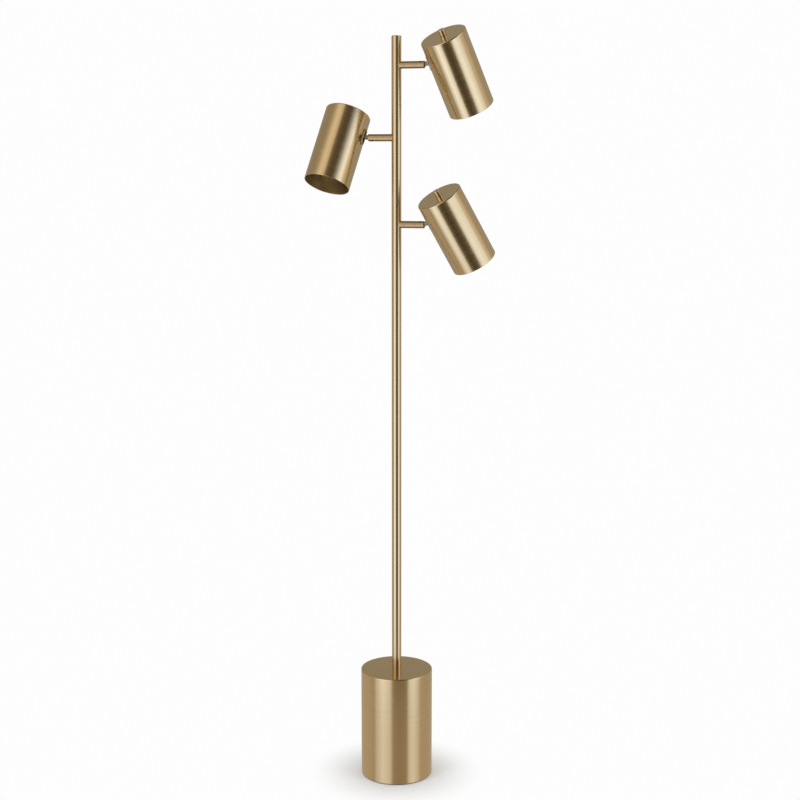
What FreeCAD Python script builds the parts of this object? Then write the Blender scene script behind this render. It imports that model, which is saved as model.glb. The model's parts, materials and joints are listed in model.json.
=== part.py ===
import FreeCAD, Part
import Sketcher
import math
import os

# Tree floor lamp: a drum base, a slim pole and three cylinder spot heads on short arms.
# Millimetres. +Z is up, the origin is the centre of the base's underside, on the floor.
# The arms lie along X. The top and low arms point to +X, the middle one to -X.

SIZES = {
    # drum base
    "base_dia": 145.0,  # outside of the drum
    "base_top": 224.0,  # the drum's top face above the floor
    "drum_wall": 1.5,
    "drum_round": 2.0,  # radius of the drum's top edge
    "pad_thick": 2.0,  # foam pad that meets the floor
    "pad_inset": 3.0,  # the pad stops this far inside the drum's side
    "plate_thick": 3.0,
    "plate_gap": 0.3,
    "weight_thick": 70.0,
    "weight_gap": 1.5,
    "recess_dia": 38.0,  # pocket for the lower nut, under the weight
    "recess_depth": 24.0,
    "channel_width": 14.0,  # way for the mains lead, under the weight
    "channel_depth": 20.0,
    # tie rod with its nuts, washers and the plate's screws
    "rod_dia": 10.0,
    "rod_bore": 6.0,
    "rod_gap": 0.2,
    "rod_tail": 3.0,  # rod left showing past the lowest nut
    "rod_reach": 20.0,  # rod inside the pole's foot
    "rod_nut_flats": 15.0,
    "rod_nut_thick": 5.0,
    "washer_dia": 30.0,
    "washer_thick": 1.5,
    "screw_circle": 100.0,
    "screw_dia": 4.0,
    "screw_head_dia": 8.0,
    "screw_length": 16.0,
    "screw_gap": 0.3,
    # inlet of the mains lead, low at the back of the drum
    "gland_height": 16.0,
    "gland_bore": 6.0,
    "gland_neck_dia": 9.0,
    "gland_flange_dia": 12.0,
    "gland_flange_thick": 1.6,
    "gland_seat_gap": 0.35,
    # pole
    "pole_dia": 19.0,
    "pole_wall": 1.5,
    "pole_top": 1488.0,
    "upper_length": 422.0,  # the upper length of pole with its cap
    "coupler_length": 40.0,
    "coupler_wall": 2.0,
    "foot_length": 25.0,
    "cap_thick": 4.0,
    "cap_round": 1.5,
    "cap_spigot": 10.0,
    # arms
    "arm_dia": 14.0,
    "arm_wall": 1.5,
    "arm_reach": 53.2,  # the tilt pin's distance from the pole's axis
    "stub_length": 14.0,
    "stub_bore": 6.5,
    "stub_tail": 1.0,  # the stub's end inside the pole
    "grub_dia": 4.0,
    "grub_length": 2.6,
    "grub_place": 8.0,  # from the pole's surface
    "grub_sunk": 0.1,
    "grub_socket_dia": 2.0,
    "grub_socket_depth": 1.2,
    "bush_length": 12.0,
    # swivel fork in the arm's end
    "running_gap": 0.05,  # radial, on every turning fit
    "face_gap": 0.2,  # between the faces of a turning pair
    "stem_dia": 8.0,
    "stem_bore": 4.0,
    "stem_tail": 1.0,
    "fork_length": 15.0,  # from its shoulder to the tilt pin
    "fork_nose": 3.5,  # from the tilt pin to its end
    "fork_round": 0.6,
    "slot_width": 6.2,
    "slot_back": 7.0,  # from the tilt pin to the slot's floor
    "clip_dia": 10.4,
    "clip_thick": 1.0,
    "clip_bite": 0.5,  # depth of the clip's groove in the stem
    "clip_mouth": 4.0,
    "pin_dia": 4.0,
    "pin_sunk": 0.3,
    # neck and saddle that carry a shade
    "side_gap": 0.1,
    "eye_dia": 12.0,
    "neck_height": 7.0,
    "neck_reach": 14.0,  # from the tilt pin to the shade's wall
    "neck_bore": 3.5,
    "neck_tail": 1.5,  # thread left showing past the nut
    "collar_dia": 10.0,
    "collar_thick": 1.5,
    "thread_dia": 7.0,
    "hole_gap": 0.1,
    "neck_nut_flats": 12.0,
    "neck_nut_thick": 4.0,
    "saddle_length": 33.0,
    "saddle_width": 18.0,
    "saddle_thick": 2.4,
    "saddle_skirt": 4.8,  # stock past the wall's crown, cut back to the shade's curve
    "saddle_round": 0.6,
    # shades
    "shade_dia": 90.0,
    "shade_length": 153.6,
    "shade_wall": 1.2,
    "shade_round": 2.5,
    "shade_rise": 43.6,  # the cap's face above the neck
    # lampholders and their rotary switches
    "switch_dia": 32.0,
    "switch_length": 16.0,
    "holder_dia": 39.0,
    "holder_length": 34.0,
    "holder_slope": 4.0,
    "holder_bore": 26.8,
    "holder_depth": 30.0,
    "ring_dia": 10.0,  # ring nut on the switch's threaded neck
    "ring_thick": 2.0,
    "ring_bore": 7.0,
    "ring_tail": 0.5,
    "spindle_dia": 4.0,
    "spindle_tail": 8.0,  # spindle inside the switch
    "spindle_seat": 10.0,  # spindle inside the knob
    "knob_dia": 11.8,
    "knob_length": 20.0,
    "knob_lip_dia": 12.6,
    "knob_lip_length": 3.0,
    "knob_round": 1.4,
    "knob_gap": 0.4,
    # bulbs
    "bulb_dia": 45.0,
    "bulb_length": 78.0,
    "bulb_thread_gap": 0.3,
    "bulb_cap_length": 25.0,
    "bulb_neck_dia": 24.0,
    "bulb_neck_out": 2.0,  # straight neck showing past the holder
    "bulb_shoulder_dia": 35.0,
    "contact_dia": 8.0,
    "contact_height": 1.5,
    "insulator_dia": 20.0,
    "insulator_height": 2.5,
    # the heads as they stand: the arm's drop from the pole's top, swivel about the arm and tilt
    # away from the pole
    "top_drop": 55.2,
    "top_swivel": 26.6,
    "top_tilt": 15.3,
    "middle_drop": 192.5,
    "middle_swivel": 26.1,
    "middle_tilt": 8.8,
    "low_drop": 359.3,
    "low_swivel": 24.8,
    "low_tilt": 21.9,
}
PLATE_SCREWS = 4
OVERCUT = 1.2  # a cutting form's reach against the wall that it goes through
RIGHT, LEFT = 0.0, 180.0  # compass turn of an arm about the pole
HEADS = {"top": RIGHT, "middle": LEFT, "low": RIGHT}


class Size:
    """A length with its value now and its formula on the sheet."""

    def __init__(self, value, formula):
        self.value = value
        self.formula = formula

    def _with(self, other, sign, result):
        formula = other.formula if isinstance(other, Size) else repr(float(other))
        return Size(result, f"({self.formula} {sign} {formula})")

    def __add__(self, other):
        return self._with(other, "+", self.value + number(other))

    def __sub__(self, other):
        return self._with(other, "-", self.value - number(other))

    def __mul__(self, other):
        return self._with(other, "*", self.value * number(other))

    def __truediv__(self, other):
        return self._with(other, "/", self.value / number(other))

    def __neg__(self):
        return self * -1.0


def number(length):
    return length.value if isinstance(length, Size) else float(length)


doc = FreeCAD.newDocument("tree_floor_lamp")
sheet = doc.addObject("Spreadsheet::Sheet", "Sizes")
for row, (alias, value) in enumerate(SIZES.items(), start=1):
    sheet.set(f"A{row}", alias)
    sheet.set(f"B{row}", str(value))
    sheet.setAlias(f"B{row}", alias)
doc.recompute()


def size(alias):
    return Size(float(sheet.get(alias)), f"Sizes.{alias}")


ZERO = size("base_dia") * 0.0


# ---------------------------------------------------------------- modelling helpers


def bind(thing, path, length):
    """Ties a property to its formula on the sheet."""
    if isinstance(length, Size):
        thing.setExpression(path, length.formula)
    else:
        setattr(thing, path, length)


def new_body(label):
    body = doc.addObject("PartDesign::Body", label)
    body.Label = label
    return body


def new_sketch(body, plane, lift=None, across=None):
    """A sketch on one of the body's planes, lifted along the plane's normal."""
    sketch = body.newObject("Sketcher::SketchObject", "Profile")
    origin = next(f for f in body.Origin.OriginFeatures if f.Role == plane)
    sketch.AttachmentSupport = (origin, [""])
    sketch.MapMode = "FlatFace"
    if lift is not None:
        sketch.setExpression("AttachmentOffset.Base.z", lift.formula)
    if across is not None:
        sketch.setExpression("AttachmentOffset.Base.x", across.formula)
    return sketch


def pin_point(sketch, piece, point, x, y):
    for kind, length in (("DistanceX", x), ("DistanceY", y)):
        rule = Sketcher.Constraint(kind, piece, point, number(length))
        index = sketch.addConstraint(rule)
        if isinstance(length, Size):
            sketch.setExpression(f"Constraints[{index}]", length.formula)


def polygon(sketch, corners):
    """A closed outline through corners given in the sheet's sizes."""
    points = [FreeCAD.Vector(number(x), number(y), 0) for x, y in corners]
    count = len(corners)
    first = sketch.GeometryCount
    for i, point in enumerate(points):
        sketch.addGeometry(Part.LineSegment(point, points[(i + 1) % count]), False)
    for i in range(count):
        follower = first + (i + 1) % count
        sketch.addConstraint(Sketcher.Constraint("Coincident", first + i, 2, follower, 1))
    for i, (x, y) in enumerate(corners):
        pin_point(sketch, first + i, 1, x, y)
    return sketch


def circle(sketch, radius, x=ZERO, y=ZERO):
    centre = FreeCAD.Vector(number(x), number(y), 0)
    ring = Part.Circle(centre, FreeCAD.Vector(0, 0, 1), number(radius))
    index = sketch.addGeometry(ring, False)
    pin_point(sketch, index, 3, x, y)
    rule = sketch.addConstraint(Sketcher.Constraint("Radius", index, number(radius)))
    sketch.setExpression(f"Constraints[{rule}]", radius.formula)
    return sketch


def rectangle(sketch, x_low, x_high, y_low, y_high):
    return polygon(sketch, [(x_low, y_low), (x_high, y_low), (x_high, y_high), (x_low, y_high)])


def hexagon(sketch, flats):
    side = flats / math.sqrt(3.0)
    half, corner = flats / 2.0, side / 2.0
    return polygon(
        sketch,
        [(side, ZERO), (corner, half), (-corner, half), (-side, ZERO), (-corner, -half), (corner, -half)],
    )


def pad(body, sketch, length, both_ways=False):
    feature = body.newObject("PartDesign::Pad", "Pad")
    feature.Profile = sketch
    feature.Midplane = both_ways
    bind(feature, "Length", length)
    doc.recompute()
    return feature


def cut(body, sketch, length, both_ways=False, along_normal=False):
    """A pocket from the sketch, against its normal unless told otherwise, that must remove something."""
    before = body.Shape.Volume
    feature = body.newObject("PartDesign::Pocket", "Pocket")
    feature.Profile = sketch
    feature.Midplane = both_ways
    feature.Reversed = along_normal
    bind(feature, "Length", length)
    doc.recompute()
    if body.Shape.Volume >= before:
        raise ValueError(f"a pocket in {body.Label} cuts nothing")
    return feature


def revolve(body, sketch, axis="V_Axis"):
    feature = body.newObject("PartDesign::Revolution", "Revolution")
    feature.Profile = sketch
    feature.ReferenceAxis = (sketch, [axis])
    feature.Angle = 360.0
    doc.recompute()
    return feature


def groove(body, sketch, axis="V_Axis"):
    before = body.Shape.Volume
    feature = body.newObject("PartDesign::Groove", "Groove")
    feature.Profile = sketch
    feature.ReferenceAxis = (sketch, [axis])
    feature.Angle = 360.0
    doc.recompute()
    if body.Shape.Volume >= before:
        raise ValueError(f"a groove in {body.Label} cuts nothing")
    return feature


def polar(body, feature, count):
    """Copies of a feature, evenly round the body's Z axis."""
    pattern = body.newObject("PartDesign::PolarPattern", "PolarPattern")
    pattern.Originals = [feature]
    upright = next(f for f in body.Origin.OriginFeatures if f.Role == "Z_Axis")
    pattern.Axis = (upright, [""])
    pattern.Angle = 360.0
    pattern.Occurrences = count
    body.Tip = pattern
    doc.recompute()
    return pattern


def soften(body, kind, amount, wanted):
    """A fillet or chamfer on the tip's edges that the test picks out."""
    tip = body.Tip
    names = [f"Edge{i}" for i, edge in enumerate(tip.Shape.Edges, start=1) if wanted(edge)]
    if not names:
        raise ValueError(f"no edge to soften in {body.Label}")
    feature = body.newObject(f"PartDesign::{kind}", kind)
    feature.Base = (tip, names)
    bind(feature, "Radius" if kind == "Fillet" else "Size", amount)
    doc.recompute()
    return feature


def is_ring(edge, radius, **place):
    """True for a circular edge of this radius with its centre at the given x, y or z."""
    curve = edge.Curve
    if not isinstance(curve, Part.Circle) or abs(curve.Radius - number(radius)) > 0.001:
        return False
    return all(abs(getattr(curve.Center, axis) - number(at)) < 0.001 for axis, at in place.items())


def tube(label, outer, inner, low, high):
    """An upright tube from one height to another."""
    body = new_body(label)
    sketch = circle(new_sketch(body, "XY_Plane", low), outer)
    circle(sketch, inner)
    pad(body, sketch, high - low)
    return body


def group(label, bodies):
    """Like fasteners, as separate solids of one sub-part."""
    members = doc.addObject("Part::Compound", label)
    members.Label = label
    members.Links = bodies
    return members


# ---------------------------------------------------------------- sizes that several pieces share

base_radius = size("base_dia") / 2.0
drum_bore = base_radius - size("drum_wall")
plate_low = size("pad_thick")
plate_top = plate_low + size("plate_thick")
weight_top = plate_top + size("weight_thick")
recess_top = plate_top + size("recess_depth")
drum_ceiling = size("base_top") - size("drum_wall")
rod_radius = size("rod_dia") / 2.0
rod_hole = rod_radius + size("rod_gap")
screw_radius = size("screw_dia") / 2.0
screw_x = size("screw_circle") / 2.0
pole_radius = size("pole_dia") / 2.0
pole_bore = pole_radius - size("pole_wall")
pole_joint = size("pole_top") - size("upper_length")
cap_low = size("pole_top") - size("cap_thick")
arm_radius = size("arm_dia") / 2.0
arm_bore = arm_radius - size("arm_wall")
arm_end = size("arm_reach") - size("fork_length") - size("face_gap")
grub_x = pole_radius + size("grub_place")
grub_tip = arm_radius - size("grub_sunk") - size("grub_length")
stem_radius = size("stem_dia") / 2.0
clip_high = -size("fork_length") - size("face_gap") - size("bush_length") - size("face_gap")
clip_low = clip_high - size("clip_thick")
pin_radius = size("pin_dia") / 2.0
shade_radius = size("shade_dia") / 2.0
shade_bore = shade_radius - size("shade_wall")
cap_face = size("shade_rise")
ceiling = cap_face - size("shade_wall")
mouth = cap_face - size("shade_length")
thread_radius = size("thread_dia") / 2.0
thread_hole = thread_radius + size("hole_gap")
neck_tip = size("neck_reach") + size("shade_wall") + size("neck_nut_thick") + size("neck_tail")
holder_low = ceiling - size("switch_length") - size("holder_length")
contact_z = holder_low + size("holder_depth")
ring_radius = size("ring_dia") / 2.0
neck_top = cap_face + size("ring_thick") + size("ring_tail")
knob_recess_top = neck_top + size("knob_gap")
spindle_top = knob_recess_top + size("spindle_seat")
spindle_low = ceiling - size("spindle_tail")
bulb_cap_low = contact_z - size("bulb_cap_length")


def arm_height(name):
    return size("pole_top") - size(f"{name}_drop")


# ---------------------------------------------------------------- drum base


def make_base_shell():
    """Spun drum, open below, with the rod's hole in its top and the gland's hole at the back."""
    body = new_body("base_shell")
    top, low = size("base_top"), plate_low
    corners = [
        (base_radius, low),
        (base_radius, top),
        (rod_hole, top),
        (rod_hole, drum_ceiling),
        (drum_bore, drum_ceiling),
        (drum_bore, low),
    ]
    revolve(body, polygon(new_sketch(body, "XZ_Plane"), corners))
    soften(body, "Fillet", size("drum_round"), lambda edge: is_ring(edge, base_radius, z=top))
    hole = circle(new_sketch(body, "XZ_Plane"), size("gland_neck_dia") / 2.0, y=size("gland_height"))
    cut(body, hole, base_radius * OVERCUT)
    return body


def make_base_weight():
    """Cast disc with a bore for the rod, a recess for its nut and a channel for the lead."""
    body = new_body("base_weight")
    rim = drum_bore - size("weight_gap")
    recess = size("recess_dia") / 2.0
    corners = [
        (rod_hole, recess_top),
        (recess, recess_top),
        (recess, plate_top),
        (rim, plate_top),
        (rim, weight_top),
        (rod_hole, weight_top),
    ]
    revolve(body, polygon(new_sketch(body, "XZ_Plane"), corners))
    half = size("channel_width") / 2.0
    channel = new_sketch(body, "XZ_Plane")
    rectangle(channel, -half, half, plate_top, plate_top + size("channel_depth"))
    cut(body, channel, base_radius)
    hole = circle(new_sketch(body, "XY_Plane", plate_top), screw_radius, x=screw_x)
    drilled = cut(body, hole, size("screw_length"), along_normal=True)
    polar(body, drilled, PLATE_SCREWS)
    return body


def make_base_plate():
    """Steel disc that closes the drum, with countersunk holes for its screws."""
    body = new_body("base_plate")
    sketch = circle(new_sketch(body, "XY_Plane", plate_low), drum_bore - size("plate_gap"))
    circle(sketch, size("recess_dia") / 2.0)
    pad(body, sketch, size("plate_thick"))
    clear = screw_radius + size("screw_gap")
    hole = circle(new_sketch(body, "XY_Plane", plate_low), clear, x=screw_x)
    polar(body, cut(body, hole, size("plate_thick"), along_normal=True), PLATE_SCREWS)
    soften(
        body,
        "Chamfer",
        size("screw_head_dia") / 2.0 - screw_radius,
        lambda edge: is_ring(edge, clear, z=plate_low),
    )
    return body


def make_base_pad():
    body = new_body("base_pad")
    sketch = circle(new_sketch(body, "XY_Plane"), base_radius - size("pad_inset"))
    pad(body, sketch, size("pad_thick"))
    return body


def make_plate_screws():
    """Countersunk screws, flush with the plate's underside."""
    head = size("screw_head_dia") / 2.0
    screws = []
    for i in range(PLATE_SCREWS):
        body = new_body(f"plate_screw_{i + 1}")
        neck = plate_low + head - screw_radius
        corners = [
            (ZERO, plate_low),
            (head, plate_low),
            (screw_radius, neck),
            (screw_radius, plate_low + size("screw_length")),
            (ZERO, plate_low + size("screw_length")),
        ]
        revolve(body, polygon(new_sketch(body, "XZ_Plane"), corners))
        turn = FreeCAD.Rotation(FreeCAD.Vector(0, 0, 1), 360.0 * i / PLATE_SCREWS)
        place = turn.multVec(FreeCAD.Vector(screw_x.value, 0, 0))
        body.Placement = FreeCAD.Placement(place, FreeCAD.Rotation())
        screws.append(body)
    return group("plate_screws", screws)


def make_cord_gland():
    """Rubber grommet in the drum's back, bored for a mains lead."""
    body = new_body("cord_gland")
    bore = size("gland_bore") / 2.0
    neck = size("gland_neck_dia") / 2.0
    flange = size("gland_flange_dia") / 2.0
    inside = -size("drum_wall") - size("gland_seat_gap")
    corners = [
        (bore, size("gland_flange_thick")),
        (flange, size("gland_flange_thick")),
        (flange, ZERO),
        (neck, ZERO),
        (neck, inside),
        (flange, inside),
        (flange, inside - size("gland_flange_thick")),
        (bore, inside - size("gland_flange_thick")),
    ]
    revolve(body, polygon(new_sketch(body, "XZ_Plane"), corners))
    soften(
        body,
        "Fillet",
        size("gland_flange_thick") / 2.0,
        lambda edge: is_ring(edge, flange, z=size("gland_flange_thick")),
    )
    backwards = FreeCAD.Rotation(FreeCAD.Vector(1, 0, 0), -90)
    place = FreeCAD.Vector(0, base_radius.value, size("gland_height").value)
    body.Placement = FreeCAD.Placement(place, backwards)
    return body


def make_tie_rod():
    low = recess_top - size("washer_thick") - size("rod_nut_thick") - size("rod_tail")
    return tube("tie_rod", rod_radius, size("rod_bore") / 2.0, low, size("base_top") + size("rod_reach"))


def make_rod_washers():
    """Washers under the weight, on the weight and under the drum's top."""
    washers = []
    lows = (recess_top - size("washer_thick"), weight_top, drum_ceiling - size("washer_thick"))
    for i, low in enumerate(lows):
        high = low + size("washer_thick")
        washers.append(tube(f"rod_washer_{i + 1}", size("washer_dia") / 2.0, rod_hole, low, high))
    return group("rod_washers", washers)


def make_rod_nuts():
    """Hexagon nuts against the same three washers."""
    under = size("washer_thick") + size("rod_nut_thick")
    lows = (recess_top - under, weight_top + size("washer_thick"), drum_ceiling - under)
    nuts = []
    for i, low in enumerate(lows):
        body = new_body(f"rod_nut_{i + 1}")
        sketch = hexagon(new_sketch(body, "XY_Plane", low), size("rod_nut_flats"))
        circle(sketch, rod_radius)
        pad(body, sketch, size("rod_nut_thick"))
        nuts.append(body)
    return group("rod_nuts", nuts)


# ---------------------------------------------------------------- pole


def make_pole():
    """Two lengths of tube on a threaded foot, joined by a coupler inside them."""
    foot_top = size("base_top") + size("foot_length")
    half = size("coupler_length") / 2.0
    low, high = pole_joint - half, pole_joint + half
    tube("pole_foot", pole_bore, rod_radius, size("base_top"), foot_top)
    tube("lower_pole", pole_radius, pole_bore, size("base_top"), pole_joint)
    tube("pole_coupler", pole_bore, pole_bore - size("coupler_wall"), low, high)
    upper = tube("upper_pole", pole_radius, pole_bore, pole_joint, cap_low)
    for name, turn in HEADS.items():
        hole = circle(new_sketch(upper, "YZ_Plane"), arm_bore, y=arm_height(name))
        cut(upper, hole, pole_radius * OVERCUT, along_normal=turn == RIGHT)


def make_pole_cap():
    """Turned cap with a rounded edge, plugged into the pole."""
    body = new_body("pole_cap")
    pad(body, circle(new_sketch(body, "XY_Plane", cap_low), pole_radius), size("cap_thick"))
    top = size("pole_top")
    soften(body, "Fillet", size("cap_round"), lambda edge: is_ring(edge, pole_radius, z=top))
    spigot_low = cap_low - size("cap_spigot")
    pad(body, circle(new_sketch(body, "XY_Plane", spigot_low), pole_bore), size("cap_spigot"))
    return body


# ---------------------------------------------------------------- places of an arm's pieces


def arm_place(name):
    """From the arm's own axes, X outward from the pole, to the lamp's."""
    turn = FreeCAD.Rotation(FreeCAD.Vector(0, 0, 1), HEADS[name])
    return FreeCAD.Placement(FreeCAD.Vector(0, 0, arm_height(name).value), turn)


def swivel_place(name):
    """At the tilt pin, turned about the arm."""
    turn = FreeCAD.Rotation(FreeCAD.Vector(1, 0, 0), size(f"{name}_swivel").value)
    reach = FreeCAD.Vector(size("arm_reach").value, 0, 0)
    return arm_place(name).multiply(FreeCAD.Placement(reach, turn))


def neck_place(name):
    """At the tilt pin, tilted with the head: X runs from the pin to the shade."""
    tilt = FreeCAD.Rotation(FreeCAD.Vector(0, 1, 0), -size(f"{name}_tilt").value)
    return swivel_place(name).multiply(FreeCAD.Placement(FreeCAD.Vector(), tilt))


def shade_place(name):
    """On the shade's axis, level with the neck: Z runs to the shade's cap."""
    out = FreeCAD.Vector((size("neck_reach") + shade_radius).value, 0, 0)
    return neck_place(name).multiply(FreeCAD.Placement(out, FreeCAD.Rotation()))


# ---------------------------------------------------------------- arms, fixed to the pole


def make_arm_tube(name):
    """Tube whose inner end is coped to the pole, with a tapped hole for its grub screw."""
    body = new_body(f"{name}_arm_tube")
    pad(body, circle(new_sketch(body, "YZ_Plane"), arm_radius), arm_end)
    cut(body, circle(new_sketch(body, "YZ_Plane"), arm_bore), arm_end, along_normal=True)
    cope = circle(new_sketch(body, "XY_Plane"), pole_radius)
    cut(body, cope, size("arm_dia") * OVERCUT, both_ways=True)
    hole = circle(new_sketch(body, "XZ_Plane"), size("grub_dia") / 2.0, x=grub_x)
    cut(body, hole, arm_radius * OVERCUT, along_normal=True)
    body.Placement = arm_place(name)
    return body


def make_arm_stub(name):
    """Hollow stub through the pole's wall, dimpled for the grub screw."""
    body = new_body(f"{name}_arm_stub")
    low = pole_bore - size("stub_tail")
    sketch = circle(new_sketch(body, "YZ_Plane", low), arm_bore)
    circle(sketch, size("stub_bore") / 2.0)
    pad(body, sketch, pole_radius + size("stub_length") - low)
    dimple = circle(new_sketch(body, "XZ_Plane", grub_tip), size("grub_dia") / 2.0, x=grub_x)
    cut(body, dimple, size("grub_length"), along_normal=True)
    body.Placement = arm_place(name)
    return body


def make_arm_grub(name):
    """Grub screw with a hexagon socket, a little below the arm's surface."""
    body = new_body(f"{name}_arm_grub")
    pad(
        body,
        circle(new_sketch(body, "XZ_Plane", grub_tip), size("grub_dia") / 2.0, x=grub_x),
        size("grub_length"),
    )
    outside = grub_tip + size("grub_length")
    socket = hexagon(new_sketch(body, "XZ_Plane", outside, grub_x), size("grub_socket_dia"))
    cut(body, socket, size("grub_socket_depth"))
    body.Placement = arm_place(name)
    return body


def make_arm_bush(name):
    """Bush in the arm's outer end, in which the fork's stem turns."""
    body = new_body(f"{name}_arm_bush")
    sketch = circle(new_sketch(body, "YZ_Plane", arm_end - size("bush_length")), arm_bore)
    circle(sketch, stem_radius + size("running_gap"))
    pad(body, sketch, size("bush_length"))
    body.Placement = arm_place(name)
    return body


# ---------------------------------------------------------------- swivel


def make_fork(name):
    """Fork as thick as the arm: a slot for the neck, a cross hole, and a bored stem with a groove."""
    body = new_body(f"{name}_fork")
    shoulder = -size("fork_length")
    length = size("fork_length") + size("fork_nose")
    pad(body, circle(new_sketch(body, "YZ_Plane", shoulder), arm_radius), length)
    stem_low = clip_low - size("stem_tail")
    stem_length = shoulder - stem_low
    pad(body, circle(new_sketch(body, "YZ_Plane", stem_low), stem_radius), stem_length)
    soften(
        body,
        "Fillet",
        size("fork_round"),
        lambda edge: is_ring(edge, arm_radius, x=size("fork_nose")),
    )
    half = size("slot_width") / 2.0
    slot = new_sketch(body, "XY_Plane")
    rectangle(slot, -size("slot_back"), size("fork_nose") * OVERCUT, -half, half)
    cut(body, slot, size("arm_dia") * OVERCUT, both_ways=True)
    cross = circle(new_sketch(body, "XZ_Plane"), pin_radius)
    cut(body, cross, size("arm_dia") * OVERCUT, both_ways=True)
    bore = circle(new_sketch(body, "YZ_Plane", -size("slot_back")), size("stem_bore") / 2.0)
    cut(body, bore, -size("slot_back") - stem_low)
    ring = new_sketch(body, "XZ_Plane")
    rectangle(ring, clip_low, clip_high, stem_radius - size("clip_bite"), size("stem_dia"))
    groove(body, ring, "H_Axis")
    body.Placement = swivel_place(name)
    return body


def make_stem_clip(name):
    """Open retaining ring in the stem's groove, behind the bush."""
    body = new_body(f"{name}_stem_clip")
    sketch = circle(new_sketch(body, "YZ_Plane", clip_low), size("clip_dia") / 2.0)
    circle(sketch, stem_radius - size("clip_bite"))
    pad(body, sketch, size("clip_thick"))
    half = size("clip_mouth") / 2.0
    opening = new_sketch(body, "YZ_Plane", clip_low)
    rectangle(opening, -half, half, ZERO, size("clip_dia"))
    cut(body, opening, size("clip_thick"), along_normal=True)
    body.Placement = swivel_place(name)
    return body


def make_pivot_pin(name):
    """Cross pin on which the neck tilts, its ends just under the fork's surface."""
    body = new_body(f"{name}_pivot_pin")
    length = size("arm_dia") - size("pin_sunk") * 2.0
    pad(body, circle(new_sketch(body, "XZ_Plane"), pin_radius), length, both_ways=True)
    body.Placement = swivel_place(name)
    return body


# ---------------------------------------------------------------- head


def make_neck(name):
    """Tongue with a round eye on the pin, a collar, and a bored threaded end through the shade."""
    body = new_body(f"{name}_neck")
    thick = size("slot_width") - size("side_gap") * 2.0
    pad(body, circle(new_sketch(body, "XZ_Plane"), size("eye_dia") / 2.0), thick, both_ways=True)
    seat = size("neck_reach") - size("saddle_thick")
    half = size("neck_height") / 2.0
    bar = rectangle(new_sketch(body, "XZ_Plane"), ZERO, seat, -half, half)
    pad(body, bar, thick, both_ways=True)
    collar = circle(new_sketch(body, "YZ_Plane", seat - size("collar_thick")), size("collar_dia") / 2.0)
    pad(body, collar, size("collar_thick"))
    pad(body, circle(new_sketch(body, "YZ_Plane", seat), thread_radius), neck_tip - seat)
    eye = circle(new_sketch(body, "XZ_Plane"), pin_radius + size("running_gap"))
    cut(body, eye, size("slot_width"), both_ways=True)
    bore = circle(new_sketch(body, "YZ_Plane", neck_tip), size("neck_bore") / 2.0)
    cut(body, bore, neck_tip - pin_radius)
    body.Placement = neck_place(name)
    return body


def make_saddle(name):
    """Long round-ended washer, flat outside and hollowed to the shade's curve inside."""
    body = new_body(f"{name}_saddle")
    outside = -shade_radius - size("saddle_thick")
    deep = size("saddle_thick") + size("saddle_skirt")
    across = size("saddle_width") / 2.0
    straight = size("saddle_length") / 2.0 - across
    middle = rectangle(
        new_sketch(body, "YZ_Plane", outside), -across, across, -straight, straight
    )
    pad(body, middle, deep)
    for end in (-straight, straight):
        pad(body, circle(new_sketch(body, "YZ_Plane", outside), across, y=end), deep)
    soften(
        body,
        "Fillet",
        size("saddle_round"),
        lambda edge: abs(edge.BoundBox.XMax - outside.value) < 0.001,
    )
    hollow = new_sketch(body, "XZ_Plane")
    rectangle(hollow, ZERO, shade_radius, -size("saddle_length"), size("saddle_length"))
    groove(body, hollow)
    hole = circle(new_sketch(body, "YZ_Plane"), thread_hole)
    cut(body, hole, shade_radius * OVERCUT)
    body.Placement = shade_place(name)
    return body


def make_neck_nut(name):
    """Nut inside the shade, its face turned to the wall's curve."""
    body = new_body(f"{name}_neck_nut")
    sketch = hexagon(new_sketch(body, "YZ_Plane", -shade_radius), size("neck_nut_flats"))
    circle(sketch, thread_radius)
    pad(body, sketch, size("shade_wall") + size("neck_nut_thick"))
    outside = new_sketch(body, "XZ_Plane")
    flats = size("neck_nut_flats")
    rectangle(outside, shade_bore, shade_radius * OVERCUT, -flats, flats)
    groove(body, outside)
    body.Placement = shade_place(name)
    return body


def make_shade(name):
    """Spun cylinder closed by a flat cap with rounded edges, open at its mouth."""
    body = new_body(f"{name}_shade")
    hole = size("ring_bore") / 2.0 + size("hole_gap")
    corners = [
        (shade_radius, mouth),
        (shade_radius, cap_face),
        (hole, cap_face),
        (hole, ceiling),
        (shade_bore, ceiling),
        (shade_bore, mouth),
    ]
    revolve(body, polygon(new_sketch(body, "XZ_Plane"), corners))
    soften(
        body, "Fillet", size("shade_round"), lambda edge: is_ring(edge, shade_radius, z=cap_face)
    )
    soften(
        body,
        "Fillet",
        size("shade_round") - size("shade_wall"),
        lambda edge: is_ring(edge, shade_bore, z=ceiling),
    )
    cut(body, circle(new_sketch(body, "YZ_Plane"), thread_hole), shade_radius * OVERCUT)
    body.Placement = shade_place(name)
    return body


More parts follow.
